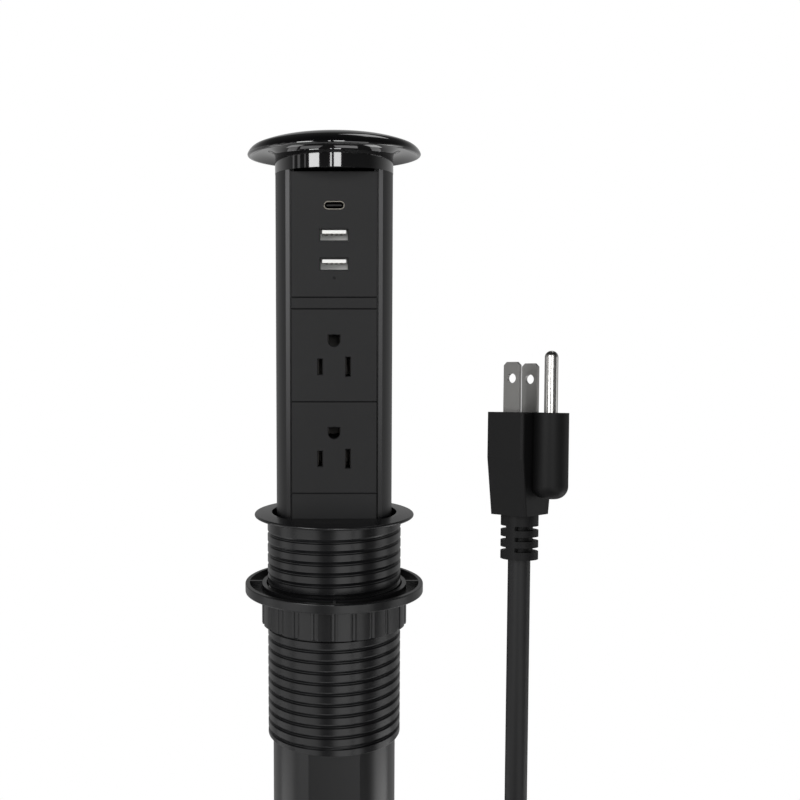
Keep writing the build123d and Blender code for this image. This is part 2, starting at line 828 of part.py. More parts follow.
with BuildPart() as transformer:
    with BuildSketch(front_plane(board_back_y)):
        with Locations((0, board_centre_z + transformer_rise)):
            Rectangle(transformer_width, transformer_height)
    extrude(amount=-transformer_depth)
    with BuildSketch(front_plane(board_back_y + transformer_depth / 2 - transformer_coil_depth / 2)):
        with Locations((0, board_centre_z + transformer_rise)):
            RectangleRounded(
                transformer_width + transformer_coil_proud,
                transformer_height - transformer_coil_proud,
                transformer_coil_proud,
            )
    extrude(amount=-transformer_coil_depth)
save(transformer, "transformer")

with BuildPart() as capacitors:
    with BuildSketch(front_plane(board_back_y)):
        for place in range(capacitor_count):
            across = (place - (capacitor_count - 1) / 2) * capacitor_pitch
            with Locations((across, board_centre_z - capacitor_drop)):
                Circle(capacitor_radius)
    extrude(amount=-capacitor_length)
    chamfer(capacitors.edges().group_by(Axis.Y)[-1], port_fit)
save(capacitors, "capacitors")

with BuildPart() as rectifier_chips:
    with BuildSketch(front_plane(board_back_y)):
        for side in (-1, 0, 1):
            with Locations((side * chip_pitch, board_centre_z - chip_drop)):
                Rectangle(chip_width, 2 * chip_width)
    extrude(amount=-chip_depth)
save(rectifier_chips, "rectifier_chips")

# Outlet insides: moulded housings, spring contacts and the bars that feed them
blade_zs = [z + outlet_panel_height / 2 - outlet_centre_drop for z in (lower_panel_z, upper_panel_z)]
ground_zs = [z + ground_offset for z in blade_zs]
housing_back_y = ledge_y + housing_depth
housing_width = 2 * (max(x for x, y in port_places) - port_radius - housing_side_gap)
housing_height = outlet_panel_height - 2 * housing_end_gap
with BuildPart() as outlet_housings:
    with BuildSketch(front_plane(ledge_y)):
        with Locations(*[(0, z + outlet_panel_height / 2) for z in (lower_panel_z, upper_panel_z)]):
            RectangleRounded(housing_width, housing_height, tower_wall)
        for z in blade_zs:
            with Locations((-blade_spacing / 2, z), (blade_spacing / 2, z)):
                Rectangle(pocket_width, neutral_slot_height + 2 * slot_bevel, mode=Mode.SUBTRACT)
        with Locations(*[(0, z) for z in ground_zs]):
            Rectangle(ground_pocket_width, ground_pocket_height, mode=Mode.SUBTRACT)
    extrude(amount=-housing_depth)
save(outlet_housings, "outlet_housings")


def contact_pair(x, heights, gap, height):
    """Two spring leaves and their web, at each of the given heights."""
    leaf_reach = gap + 2 * contact_thickness
    front_y = ledge_y + contact_setback
    with BuildSketch(front_plane(front_y)) as leaves:
        with Locations(*[(x, z) for z in heights]):
            Rectangle(leaf_reach, height)
            Rectangle(gap, height, mode=Mode.SUBTRACT)
    extrude(leaves.sketch, amount=-(housing_back_y - front_y))
    with BuildSketch(front_plane(housing_back_y)) as webs:
        with Locations(*[(x, z) for z in heights]):
            Rectangle(leaf_reach, height)
    extrude(webs.sketch, amount=-contact_thickness)


def feed_bar(x, low_z, high_z):
    """Flat bar behind the contacts."""
    with BuildSketch(front_plane(housing_back_y + contact_thickness)) as bar:
        with Locations((x, (low_z + high_z) / 2)):
            Rectangle(bar_width, high_z - low_z)
    extrude(bar.sketch, amount=-sheet_thickness)


bar_reach = line_slot_height / 2
for name, x in (("line", -blade_spacing / 2), ("neutral", blade_spacing / 2)):
    with BuildPart() as blade_contacts:
        contact_pair(x, blade_zs, blade_thickness + running_gap, line_slot_height)
    save(blade_contacts, f"{name}_contacts")
    with BuildPart() as blade_bar:
        feed_bar(x, blade_zs[0] - bar_reach, blade_zs[1] + bar_reach)
    save(blade_bar, f"{name}_busbar")

with BuildPart() as ground_contacts:
    contact_pair(0, ground_zs, 2 * ground_pin_radius + side_gap, 2 * ground_hole_radius)
save(ground_contacts, "ground_contacts")

with BuildPart() as ground_busbar:
    feed_bar(0, ground_zs[0] - ground_hole_radius, ground_zs[1] + ground_hole_radius)
save(ground_busbar, "ground_busbar")

wire_y = housing_back_y + contact_thickness + sheet_thickness + wire_radius
spigot_top_z = foot_z + base_spigot_height
wire_feet = (
    (-blade_spacing / 2, blade_zs[0]),
    (0, ground_zs[0] + ground_hole_radius),
    (blade_spacing / 2, blade_zs[0]),
)
with BuildPart() as feed_wires:
    for x, top_z in wire_feet:
        with BuildSketch(Plane.XY.offset(spigot_top_z)) as wire_end:
            with Locations((x, wire_y)):
                Circle(wire_radius)
        extrude(wire_end.sketch, amount=top_z - spigot_top_z)
save(feed_wires, "feed_wires")

charger_wire_y = board_back_y + wire_radius
with BuildPart() as charger_wires:
    for x in (-blade_spacing / 2, blade_spacing / 2):
        low_z = blade_zs[1] - bar_reach
        bend_z = usb_panel_z - spacer_height
        with BuildLine() as wire_route:
            FilletPolyline(
                (x, wire_y, low_z),
                (x, wire_y, bend_z),
                (x, charger_wire_y, bend_z + wire_y - charger_wire_y),
                (x, charger_wire_y, usb_panel_z + board_post_inset + wire_y - charger_wire_y),
                radius=wire_bend_radius,
            )
        with BuildSketch(Plane.XY.offset(low_z)) as wire_end:
            with Locations((x, wire_y)):
                Circle(wire_radius)
        sweep(wire_end.sketch, path=wire_route.line)
save(charger_wires, "charger_wires")

# Foot of the tower: base, glide ring, screws and the bushing of the inner lead
glide_low_z = base_bottom_z + (base_thickness - glide_width) / 2
with BuildPart() as tower_base:
    flat_fronted_disc(base_radius, base_front, base_bottom_z, foot_z)
    flat_fronted_disc(
        tube_bore + overrun, bore_flat + overrun, glide_low_z, glide_low_z + glide_width, mode=Mode.SUBTRACT
    )
    flat_fronted_disc(base_radius - glide_depth, base_front - glide_depth, base_bottom_z, foot_z)
    with BuildSketch(Plane.XY.offset(foot_z)):
        Circle(base_spigot_radius)
    extrude(amount=base_spigot_height)
    with BuildSketch(Plane.XY.offset(base_bottom_z)):
        Circle(bushing_radius + running_gap)
    extrude(amount=base_thickness + base_spigot_height, mode=Mode.SUBTRACT)
    with BuildSketch(Plane.XY.offset(base_bottom_z)):
        with Locations(*port_places):
            Circle(screw_radius + running_gap)
    extrude(amount=base_thickness, mode=Mode.SUBTRACT)
save(tower_base, "tower_base")

with BuildPart() as glide_ring:
    flat_fronted_disc(
        tube_bore - running_gap,
        bore_flat - running_gap,
        glide_low_z + flat_seam,
        glide_low_z + glide_width - flat_seam,
    )
    flat_fronted_disc(
        base_radius - glide_depth + running_gap,
        base_front - glide_depth + running_gap,
        glide_low_z,
        glide_low_z + glide_width,
        mode=Mode.SUBTRACT,
    )
save(glide_ring, "glide_ring")

with BuildPart() as base_screws:
    for x, y in port_places:
        seat = Plane((x, y, base_bottom_z), x_dir=(1, 0, 0), z_dir=(0, 0, -1))
        screw(seat, screw_radius, base_thickness + screw_bite)
save(base_screws, "base_screws")

with BuildPart() as lead_bushing:
    with BuildSketch(Plane.XY.offset(base_bottom_z - screw_head_height)):
        Circle(bushing_radius + bushing_lip)
    extrude(amount=screw_head_height)
    with BuildSketch(Plane.XY.offset(base_bottom_z)):
        Circle(bushing_radius)
    extrude(amount=base_thickness + base_spigot_height)
save(lead_bushing, "lead_bushing")

# Neck and cap
neck_bore = neck_radius - neck_wall
floor_top_z = tower_top_z + neck_floor
with BuildPart() as cap_neck:
    with BuildSketch(Plane.XZ):
        with BuildLine():
            Polyline(
                (neck_radius + neck_flare, cap_seat_z),
                (neck_bore, cap_seat_z),
                (neck_bore, floor_top_z),
                (0, floor_top_z),
                (0, tower_top_z),
                (neck_radius, tower_top_z),
                (neck_radius, flare_z),
            )
            CenterArc((neck_radius + neck_flare, flare_z), neck_flare, 90, 90)
        make_face()
    revolve(axis=Axis.Z)
    with BuildSketch(Plane.XY.offset(tower_top_z)):
        with Locations(*port_places):
            Circle(screw_radius + running_gap)
    extrude(amount=neck_floor, mode=Mode.SUBTRACT)
save(cap_neck, "cap_neck")

with BuildPart() as cap_screws:
    for x, y in port_places:
        seat = Plane((x, y, floor_top_z), x_dir=(1, 0, 0), z_dir=(0, 0, 1))
        screw(seat, screw_radius, neck_floor + screw_bite)
save(cap_screws, "cap_screws")

lip_z = cap_seat_z - cap_lip_drop
spigot_radius = neck_bore - running_gap
dome_points = [(out * cap_radius, cap_rim_z + up * cap_dome_rise) for out, up in dome_shares]
dome_points.append((cap_lip_radius, lip_z))
with BuildPart() as cap_dome:
    with BuildSketch(Plane.XZ):
        with BuildLine():
            arc = TangentArc((0, cap_top_z), dome_points[0], tangent=(1, 0))
            for point in dome_points[1:]:
                arc = TangentArc(arc @ 1, point, tangent=arc % 1)
            ThreePointArc(
                (cap_lip_radius, lip_z),
                (
                    neck_radius + neck_flare + dish_shares[0] * (cap_lip_radius - neck_radius - neck_flare),
                    lip_z + dish_shares[1] * (cap_seat_z - lip_z),
                ),
                (neck_radius + neck_flare, cap_seat_z),
            )
            Polyline(
                (neck_radius + neck_flare, cap_seat_z),
                (spigot_radius, cap_seat_z),
                (spigot_radius, cap_seat_z - cap_spigot_height),
                (spigot_radius - cap_wall, cap_seat_z - cap_spigot_height),
                (spigot_radius - cap_wall, cap_top_z - cap_ceiling_drop),
                (0, cap_top_z - cap_ceiling_drop),
                (0, cap_top_z),
            )
        make_face()
    revolve(axis=Axis.Z)
save(cap_dome, "cap_dome")

# Coiled lead inside the tube, from the gland up to the tower's base
lead_low = Vector(0, 0, gland_top_z)
lead_high = Vector(0, 0, base_bottom_z - screw_head_height)
lead_up = Vector(0, 0, 1)
lead_quarters = 4 * lead_turns
lead_first_z = gland_top_z + lead_diameter + lead_coil_radius
lead_rise = (lead_high.Z - lead_diameter - lead_coil_radius - lead_first_z) / lead_quarters
lead_stations = [(lead_low, lead_up), (lead_low + lead_up * lead_diameter, lead_up)]
for quarter in range(lead_quarters + 1):
    angle = math.pi / 2 * (quarter + 1)
    place = Vector(
        lead_coil_radius * math.cos(angle),
        lead_coil_radius * math.sin(angle),
        lead_first_z + quarter * lead_rise,
    )
    way = Vector(-math.sin(angle), math.cos(angle), lead_rise / (lead_coil_radius * math.pi / 2)).normalized()
    lead_stations.append((place, way))
lead_stations += [(lead_high - lead_up * lead_diameter, lead_up), (lead_high, lead_up)]
with BuildPart() as inner_lead:
    with BuildLine() as lead_route:
        add_biarcs(lead_stations)
    with BuildSketch(Plane.XY.offset(lead_low.Z)):
        Circle(lead_diameter / 2)
    sweep(path=lead_route.wire())
report_tube("inner_lead", inner_lead, lead_route.wire(), lead_diameter)
save(inner_lead, "inner_lead")

# Plug, standing with its blades up
with BuildPart() as plug_body:
    with BuildSketch(plug_plane(0)):
        RectangleRounded(plug_block_along, plug_block_across, plug_edge_round)
    extrude(amount=-plug_shoulder_drop)
    with BuildSketch(plug_plane(-plug_shoulder_drop)):
        RectangleRounded(plug_block_along, plug_block_across, plug_edge_round)
    with BuildSketch(plug_plane(-plug_block_height)):
        RectangleRounded(plug_waist_along, plug_waist_across, plug_edge_round)
    loft()
    boss_place = plug_point(ground_offset, 0, 0)
    with BuildSketch(Plane(boss_place, x_dir=plug_axes()[0], z_dir=-plug_axes()[1])):
        with BuildLine():
            Polyline(
                (boss_radius, -boss_height + boss_end_round),
                (boss_radius, 0),
                (0, 0),
                (0, -boss_height),
                (boss_radius - boss_end_round, -boss_height),
            )
            CenterArc((boss_radius - boss_end_round, -boss_height + boss_end_round), boss_end_round, -90, 90)
        make_face()
    revolve(axis=Axis(boss_place, plug_axes()[2]))
    with BuildSketch(plug_plane(0)):
        with Locations((0, -blade_spacing / 2), (0, blade_spacing / 2)):
            Rectangle(blade_width, blade_thickness)
        with Locations((ground_offset, 0)):
            Circle(ground_pin_root_radius)
    extrude(amount=-blade_seat, mode=Mode.SUBTRACT)
save(plug_body, "plug_body")

for name, side in (("line_blade", -1), ("neutral_blade", 1)):
    with BuildPart() as blade:
        with BuildSketch(plug_plane(-blade_seat)):
            with Locations((0, side * blade_spacing / 2)):
                Rectangle(blade_width, blade_thickness)
        extrude(amount=blade_seat + blade_length)
        top_corners = blade.edges().group_by(Axis((0, 0, 0), plug_axes()[2]))[-1].sort_by(SortBy.LENGTH)[:2]
        chamfer(top_corners, blade_chamfer)
        hole_place = plug_point(0, side * blade_spacing / 2, blade_hole_rise)
        with BuildSketch(Plane(hole_place, x_dir=plug_axes()[0], z_dir=plug_axes()[1])):
            Circle(blade_hole_radius)
        extrude(amount=blade_thickness, both=True, mode=Mode.SUBTRACT)
    save(blade, name)

with BuildPart() as ground_pin:
    with BuildSketch(plug_plane(-blade_seat)):
        with Locations((ground_offset, 0)):
            Circle(ground_pin_root_radius)
    extrude(amount=blade_seat)
    with BuildSketch(plug_plane(0)):
        with Locations((ground_offset, 0)):
            Circle(ground_pin_radius)
    extrude(amount=ground_pin_length)
    pin_end = ground_pin.edges().group_by(Axis((0, 0, 0), plug_axes()[2]))[-1]
    fillet(pin_end, ground_pin_radius - running_gap)
save(ground_pin, "ground_pin")

relief_bottom = -plug_block_height - relief_length
with BuildPart() as plug_strain_relief:
    with BuildSketch(plug_plane(relief_bottom)):
        Circle(relief_radius)
    extrude(amount=relief_length)
    for step in range(relief_groove_count):
        groove_top = -plug_block_height - relief_collar_height - step * relief_rib_pitch
        with BuildSketch(plug_plane(groove_top)):
            Circle(relief_radius + overrun)
            Circle(relief_core_radius, mode=Mode.SUBTRACT)
            with PolarLocations(relief_radius, 2, start_angle=90):
                Rectangle(2 * relief_radius - 2 * overrun, relief_bridge_width, mode=Mode.SUBTRACT)
        extrude(amount=-(relief_rib_pitch - relief_rib_height), mode=Mode.SUBTRACT)
save(plug_strain_relief, "plug_strain_relief")

# Power cord: down from the gland, round a put-away coil, and up to the plug
cord_radius = cord_diameter / 2
gland_foot = Vector(0, 0, gland_tip_z)
plug_foot = plug_point(0, 0, relief_bottom)
plug_end = plug_point(0, 0, relief_bottom - plug_end_run)


def across_and_down(runs):
    """How far a list of runs goes across and down."""
    across = sum(length * math.sin(math.radians(lean)) for length, lean in runs)
    down = sum(length * math.cos(math.radians(lean)) for length, lean in runs)
    return across, down


tail_across, tail_down = across_and_down(tail_runs)
rise_across, rise_down = across_and_down(rise_runs)
layer_height = cord_diameter + coil_gap
floor_z = gland_tip_z - tail_down
plug_straight = plug_end.Z - rise_down - floor_z - layer_height

# Centre of the coil: both free stretches reach it as tangents of its outer turn
tail_reach = tail_across + cord_diameter
rise_reach = rise_across + cord_diameter
ends = Vector(plug_end.X, plug_end.Y, 0)
sideways = Vector(-ends.Y, ends.X, 0).normalized()
tail_square = tail_reach**2 + coil_outer_radius**2
rise_square = rise_reach**2 + coil_outer_radius**2
forward_reach = (tail_square - rise_square + ends.length**2) / (2 * ends.length)
side_reach = math.sqrt(tail_square - forward_reach**2)
coil_centre = ends.normalized() * forward_reach + sideways * side_reach
heading_in = math.atan2(coil_centre.Y, coil_centre.X) + math.atan2(coil_outer_radius, tail_reach)
angle_in = heading_in + math.pi / 2
plug_bearing = math.atan2(ends.Y - coil_centre.Y, ends.X - coil_centre.X)
angle_out = plug_bearing + math.atan2(rise_reach, coil_outer_radius)
heading_out = angle_out - math.pi / 2
coil_turn = (angle_in - angle_out) % (2 * math.pi) + 2 * math.pi * coil_whole_turns
turn_step = (cord_diameter + coil_gap) / (2 * math.pi)
reverse_start = coil_turn / 2 - math.pi / 2


def coil_radius_at(turned):
    """Radius of the coil's centre line: in, round, and out again."""
    if turned > coil_turn / 2:
        turned = coil_turn - turned
    if turned <= reverse_start:
        return coil_outer_radius - turn_step * turned
    past = turned - reverse_start
    return coil_outer_radius - turn_step * (reverse_start + past - past**2 / math.pi)


def coil_point(turned):
    """Point of the coil's centre line after a given turn."""
    angle = angle_in - turned
    past = min(max(turned - reverse_start, 0), math.pi)
    radius = coil_radius_at(turned)
    climb = layer_height * (1 - math.cos(past)) / 2
    return coil_centre + Vector(radius * math.cos(angle), radius * math.sin(angle), floor_z + climb)


def coil_way(turned):
    """Direction of the coil's centre line after a given turn."""
    return (coil_point(turned + tiny_turn) - coil_point(turned - tiny_turn)).normalized()


way_in = Vector(math.cos(heading_in), math.sin(heading_in), 0)
way_out = Vector(math.cos(heading_out), math.sin(heading_out), 0)
coil_start = coil_point(0) - way_in * cord_diameter
coil_end = coil_point(coil_turn) + way_out * cord_diameter
quarters = round(coil_turn / (math.pi / 2))
stations = [(coil_start, way_in), (coil_point(0), way_in)]
for quarter in range(1, quarters):
    turned = coil_turn * quarter / quarters
    stations.append((coil_point(turned), coil_way(turned)))
stations += [(coil_point(coil_turn), way_out), (coil_end, way_out)]
with BuildPart() as cord_coil:
    with BuildLine() as coil_route:
        add_biarcs(stations)
    with BuildSketch(Plane(coil_start, z_dir=way_in)):
        Circle(cord_radius)
    sweep(path=coil_route.wire())
report_tube("cord_coil", cord_coil, coil_route.wire(), cord_diameter)
save(cord_coil, "cord_coil")

coil_line = coil_route.wire()
samples = [coil_line @ (place / coil_samples) for place in range(coil_samples + 1)]
sample_step = coil_route.wire().length / coil_samples
apart = math.ceil(3 * cord_diameter / sample_step)
least_gap = min(
    (samples[first] - samples[second]).length
    for first in range(len(samples))
    for second in range(first + apart, len(samples))
) - cord_diameter
print(f"coil: {coil_turn / 2 / math.pi:.2f} turns, least gap to itself {least_gap:.2f} mm")

# Tie round the coil's turns
tie_angle = math.radians(tie_bearing)
tie_turn = (angle_in - tie_angle) % (2 * math.pi)
crossings = [
    coil_radius_at(turned)
    for turned in [tie_turn + 2 * math.pi * lap for lap in range(coil_whole_turns + 1)]
    if turned < coil_turn
]
tie_inner = min(crossings) - cord_radius - tie_gap
tie_outer = max(crossings) + cord_radius + tie_gap
tie_height = layer_height + cord_diameter + 2 * tie_gap
tie_middle = (tie_inner + tie_outer) / 2
tie_out = Vector(math.cos(tie_angle), math.sin(tie_angle), 0)
tie_place = coil_centre + tie_out * tie_middle + Vector(0, 0, floor_z + layer_height / 2)
with BuildPart() as cord_tie:
    with BuildSketch(Plane(tie_place, x_dir=tie_out, z_dir=tie_out.cross(lead_up))):
        RectangleRounded(
            tie_outer - tie_inner + 2 * tie_thickness,
            tie_height + 2 * tie_thickness,
            cord_radius + tie_thickness,
        )
        RectangleRounded(tie_outer - tie_inner, tie_height, cord_radius, mode=Mode.SUBTRACT)
    extrude(amount=tie_width / 2, both=True)
save(cord_tie, "cord_tie")


def cord_tube(name, points):
    """A free stretch of cord along straight runs joined by large tangent arcs."""
    radii = []
    for before, corner, after in zip(points[:-2], points[1:-1], points[2:]):
        first = corner - before
        second = after - corner
        turn = math.radians(first.get_angle(second))
        radii.append(corner_share * min(first.length, second.length) / math.tan(turn / 2))
    print(name, "corner radii", [round(radius) for radius in radii])
    with BuildPart() as tube:
        with BuildLine() as route:
            FilletPolyline(*points, radius=radii)
        with BuildSketch(Plane(points[0], z_dir=points[1] - points[0])) as end:
            Circle(cord_radius)
        sweep(end.sketch, path=route.wire())
    report_tube(name, tube, route.wire(), cord_diameter)
    save(tube, name)
    return route.wire().length


tail_points = [gland_foot]
for length, lean in tail_runs:
    turn = math.radians(lean)
    step = way_in * (length * math.sin(turn)) - lead_up * (length * math.cos(turn))
    tail_points.append(tail_points[-1] + step)
tail_points[-1] = coil_start
tail_length = cord_tube("cord_tail", tail_points)

rise_points = [coil_end]
for length, lean in reversed(rise_runs):
    turn = math.radians(lean)
    step = way_out * (length * math.sin(turn)) + lead_up * (length * math.cos(turn))
    rise_points.append(rise_points[-1] + step)
rise_points += [plug_end, plug_foot]
run_length = cord_tube("cord_run", rise_points)
print(f"upright run below the plug's lean {plug_straight:.1f} mm")
print(f"cord length {tail_length + coil_route.wire().length + run_length:.0f} mm")
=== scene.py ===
"""Pop up desk socket: looks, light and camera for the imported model.

Metres, origin on the desk's top face at the centre of its hole, +Z up, front towards -Y.
"""
import math

import bmesh
import bpy
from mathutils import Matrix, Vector


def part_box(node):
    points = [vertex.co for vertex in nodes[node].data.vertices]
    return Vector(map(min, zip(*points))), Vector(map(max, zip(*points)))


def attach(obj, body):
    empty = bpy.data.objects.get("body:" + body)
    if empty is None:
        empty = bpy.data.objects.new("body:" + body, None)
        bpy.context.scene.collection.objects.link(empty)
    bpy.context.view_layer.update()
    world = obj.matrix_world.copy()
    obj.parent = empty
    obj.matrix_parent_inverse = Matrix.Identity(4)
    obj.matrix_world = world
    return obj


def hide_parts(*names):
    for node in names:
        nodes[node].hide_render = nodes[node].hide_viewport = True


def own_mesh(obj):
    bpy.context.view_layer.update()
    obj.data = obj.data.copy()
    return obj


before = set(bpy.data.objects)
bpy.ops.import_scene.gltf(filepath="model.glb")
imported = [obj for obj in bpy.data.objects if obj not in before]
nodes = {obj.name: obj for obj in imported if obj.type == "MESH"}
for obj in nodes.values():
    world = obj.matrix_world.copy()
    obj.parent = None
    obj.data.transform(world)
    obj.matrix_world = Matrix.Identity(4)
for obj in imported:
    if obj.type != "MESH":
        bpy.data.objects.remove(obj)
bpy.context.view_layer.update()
scene = bpy.context.scene
scene.view_settings.view_transform = "Standard"

# Camera: in front of the tower, above the desk's face, tipped down by the photo's few degrees

SENSOR_WIDTH = 36
FOCAL_LENGTH = 46.46
CAMERA_PLACE = (0, -0.4863, 0.09405)
CAMERA_TIP = 4.61
CAMERA_SHIFT = (0.0823, 0.0005)


def photo_camera():
    """The camera that frames the socket as the photo does."""
    camera_data = bpy.data.cameras.new("camera")
    camera_data.sensor_width = SENSOR_WIDTH
    camera_data.lens = FOCAL_LENGTH
    camera_data.shift_x, camera_data.shift_y = CAMERA_SHIFT
    camera = bpy.data.objects.new("camera", camera_data)
    camera.location = CAMERA_PLACE
    camera.rotation_euler = (math.radians(90 - CAMERA_TIP), 0, 0)
    scene.collection.objects.link(camera)
    scene.camera = camera


photo_camera()

# Power cord: from the gland, round the put-away coil, and up to the plug

CORD_DIAMETER = 0.0081
CORD_SIDES = 6
CORD_STEPS = 6
CORD_PITCH = 0.009
COIL_CENTRE = Vector((0.119781, 0.009311, 0))
COIL_OUTER_RADIUS = 0.0535
COIL_STEP = CORD_PITCH / (2 * math.pi)
COIL_FLOOR = -0.39209
COIL_FIRST_ANGLE = math.radians(120.888)
COIL_TURN = math.radians(1604.145)
COIL_POINTS = 108
TAIL_POINTS = [
    (0, 0, -0.288),
    (0, 0, -0.322),
    (0.01006, 0.00602, -0.35604),
    (0.02973, 0.01778, -0.37978),
    (0.05876, 0.03515, -0.39209),
]
RISE_POINTS = [
    (0.13401, -0.05364, -0.38309),
    (0.11406, -0.07484, -0.37583),
    (0.09576, -0.09428, -0.35644),
    (0.08196, -0.10895, -0.32421),
    (0.07310, -0.11838, -0.27591),
    (0.06736, -0.12446, -0.19635),
    (0.06550, -0.12645, -0.09239),
    (0.06550, -0.12645, -0.05197),
    (0.06641, -0.12130, 0.0078),
]
SMOOTH_ANGLE = math.radians(40)


def round_curve(name, points, diameter, sides, steps):
    """A smooth round curve. Its points hold its radius, because its box grows by what they hold."""
    curve = bpy.data.curves.new(name, "CURVE")
    curve.dimensions = "3D"
    curve.bevel_depth = 1
    curve.bevel_resolution = sides
    curve.resolution_u = steps
    curve.use_fill_caps = True
    spline = curve.splines.new("NURBS")
    spline.points.add(len(points) - 1)
    for spot, place in zip(spline.points, points):
        spot.co = (*place, 1)
        spot.radius = diameter / 2
    spline.order_u = 3
    spline.use_endpoint_u = True
    piece = bpy.data.objects.new(name, curve)
    scene.collection.objects.link(piece)
    return piece


def coil_loops():
    """Points round the coil: in on the lower layer, up on the innermost half turn, out on the upper one."""
    points = []
    climb_start = COIL_TURN / 2 - math.pi / 2
    for place in range(COIL_POINTS + 1):
        turned = COIL_TURN * place / COIL_POINTS
        angle = COIL_FIRST_ANGLE - turned
        from_end = min(turned, COIL_TURN - turned)
        easing = max(from_end - climb_start, 0)
        radius = COIL_OUTER_RADIUS - COIL_STEP * (from_end - easing**2 / math.pi)
        climbed = min(max(turned - climb_start, 0), math.pi)
        height = COIL_FLOOR + CORD_PITCH * (1 - math.cos(climbed)) / 2
        points.append(COIL_CENTRE + Vector((radius * math.cos(angle), radius * math.sin(angle), height)))
    return points


def power_cord():
    """The whole cord as one smooth round curve."""
    cord = round_curve(
        "power_cord", TAIL_POINTS + coil_loops() + RISE_POINTS, CORD_DIAMETER, CORD_SIDES, CORD_STEPS
    )
    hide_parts("cord_tail", "cord_coil", "cord_run")
    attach(cord, "housing")
    return cord


# Strap round the coil. ALONG and SQUARE_ON say how closely a face or an edge follows an axis to be picked.

STRAP_PLACE = Vector((0.079893, -0.005207, -0.38759))
STRAP_TURN = math.radians(200)
STRAP_SIZE = (0.0222, 0.0088, 0.0212)
STRAP_CORNER = 0.0054
STRAP_CORNER_STEPS = 8
STRAP_WALL = 0.0014
STRAP_EDGE = 0.0003
STRAP_EDGE_STEPS = 2
PAD_INSET = 0.001
PAD_RISE = 0.0009
ALONG = 0.9
SQUARE_ON = 0.99


def select_by(mesh, faces=None, edges=None):
    """Select the faces or edges of the mesh being edited that a test picks, and nothing else."""
    edit = bmesh.from_edit_mesh(mesh)
    bpy.ops.mesh.select_all(action="DESELECT")
    for face in edit.faces:
        if faces and faces(face):
            face.select_set(True)
    for edge in edit.edges:
        if edges and edges(edge):
            edge.select_set(True)
    bmesh.update_edit_mesh(mesh)


def runs_through(edge):
    """Whether an edge runs the way that the cord does through the strap."""
    ends = edge.verts[0].co - edge.verts[1].co
    return abs(ends.normalized().y) > ALONG


def cord_strap():
    """The strap round the coil: a rounded sleeve with a raised pad where its end laps over."""
    bpy.ops.object.select_all(action="DESELECT")
    bpy.ops.mesh.primitive_cube_add(
        size=1, location=STRAP_PLACE, rotation=(0, 0, STRAP_TURN), scale=STRAP_SIZE
    )
    strap = bpy.context.object
    strap.name = "cord_strap"
    bpy.ops.object.transform_apply(location=False, rotation=False, scale=True)
    bpy.ops.object.mode_set(mode="EDIT")
    bpy.context.tool_settings.mesh_select_mode = (False, False, True)
    select_by(strap.data, faces=lambda face: abs(face.normal.y) > ALONG)
    bpy.ops.mesh.delete(type="FACE")
    bpy.context.tool_settings.mesh_select_mode = (False, True, False)
    select_by(strap.data, edges=runs_through)
    bpy.ops.mesh.bevel(offset=STRAP_CORNER, segments=STRAP_CORNER_STEPS)
    bpy.context.tool_settings.mesh_select_mode = (False, False, True)
    select_by(strap.data, faces=lambda face: face.normal.x > SQUARE_ON)
    bpy.ops.mesh.inset(thickness=PAD_INSET)
    outwards = Vector((math.cos(STRAP_TURN), math.sin(STRAP_TURN), 0))
    bpy.ops.transform.translate(value=outwards * PAD_RISE)
    bpy.ops.object.mode_set(mode="OBJECT")
    wall = strap.modifiers.new("wall", "SOLIDIFY")
    wall.thickness = STRAP_WALL
    wall.offset = -1
    bpy.ops.object.modifier_apply(modifier="wall")
    edges = strap.modifiers.new("edges", "BEVEL")
    edges.width = STRAP_EDGE
    edges.segments = STRAP_EDGE_STEPS
    edges.limit_method = "ANGLE"
    bpy.ops.object.modifier_apply(modifier="edges")
    bpy.ops.object.transform_apply(location=True, rotation=True, scale=True)
    bpy.ops.object.shade_smooth_by_angle(angle=SMOOTH_ANGLE)
    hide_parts("cord_tie")
    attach(strap, "housing")
    return strap


# Inner lead: from the end cap, up the tube in a coil, to the tower's base

LEAD_DIAMETER = 0.0065
LEAD_SIDES = 5
LEAD_STEPS = 3
LEAD_RADIUS = 0.0162
LEAD_TURNS = 5
LEAD_POINTS_A_TURN = 16
LEAD_FOOT = -0.2567
LEAD_TOP = -0.05135
LEAD_HELIX = (-0.2342, -0.07385)
LEAD_WAY_IN = [(0, 0, LEAD_FOOT), (0, 0, -0.2490), (0.007, 0.0125, -0.2385)]
LEAD_WAY_OUT = [(-0.007, 0.0125, -0.0695), (0, 0, -0.0590), (0, 0, LEAD_TOP)]


def lead_helix():
    """Points up the lead's springy turns."""
    points = []
    foot, top = LEAD_HELIX
    count = LEAD_TURNS * LEAD_POINTS_A_TURN
    for place in range(count + 1):
        angle = math.pi / 2 + 2 * math.pi * place / LEAD_POINTS_A_TURN
        height = foot + (top - foot) * place / count
        points.append((LEAD_RADIUS * math.cos(angle), LEAD_RADIUS * math.sin(angle), height))
    return points


def coiled_lead():
    """The springy lead inside the tube, which closes up as the tower sinks."""
    points = LEAD_WAY_IN + lead_helix() + LEAD_WAY_OUT
    lead = round_curve("coiled_lead", points, LEAD_DIAMETER, LEAD_SIDES, LEAD_STEPS)
    bpy.ops.object.select_all(action="DESELECT")
    lead.select_set(True)
    bpy.context.view_layer.objects.active = lead
    bpy.ops.object.convert(target="MESH")
    lead = bpy.context.object
    bpy.ops.object.shade_smooth_by_angle(angle=SMOOTH_ANGLE)
    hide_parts("inner_lead")
    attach(lead, "housing")
    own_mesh(lead)
    return lead


strap = cord_strap()
cord = power_cord()
lead = coiled_lead()

# Finishes

